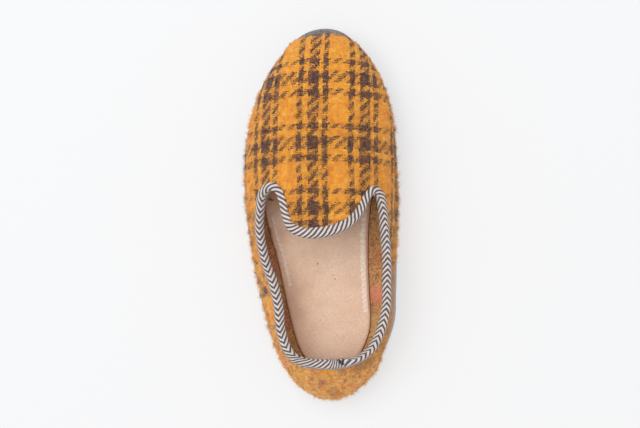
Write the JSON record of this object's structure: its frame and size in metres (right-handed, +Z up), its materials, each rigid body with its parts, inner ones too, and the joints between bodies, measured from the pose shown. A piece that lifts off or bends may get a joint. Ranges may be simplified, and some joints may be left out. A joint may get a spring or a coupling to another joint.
{
  "type": "house slipper",
  "caption": "Left house slipper: plaid wool upper with a tongue flap between two side notches, striped tape round the collar, pale insole and low grey outsole.",
  "frame": {"origin": "on the floor, under the middle of the slipper's bounding box", "axes": "+Y points to the toe, +X to the inner side of the foot (the shoe is a left one), +Z is up"},
  "size_m": [0.1071, 0.2594, 0.0694],
  "materials": {
    "outsole": "matte grey with fine light and dark specks",
    "insole": "matte beige cloth, worn smooth, with paler whip stitched edges",
    "upper": "fuzzy twill wool, mustard yellow with a dark aubergine plaid, brown felt inside",
    "collar_binding": "woven tape with off-white and dark grey diagonal stripes"
  },
  "bodies": {
    "root": {"outsole": "outsole", "insole": "insole", "upper": "upper", "collar_binding": "collar_binding"}
  },
  "joints": []
}
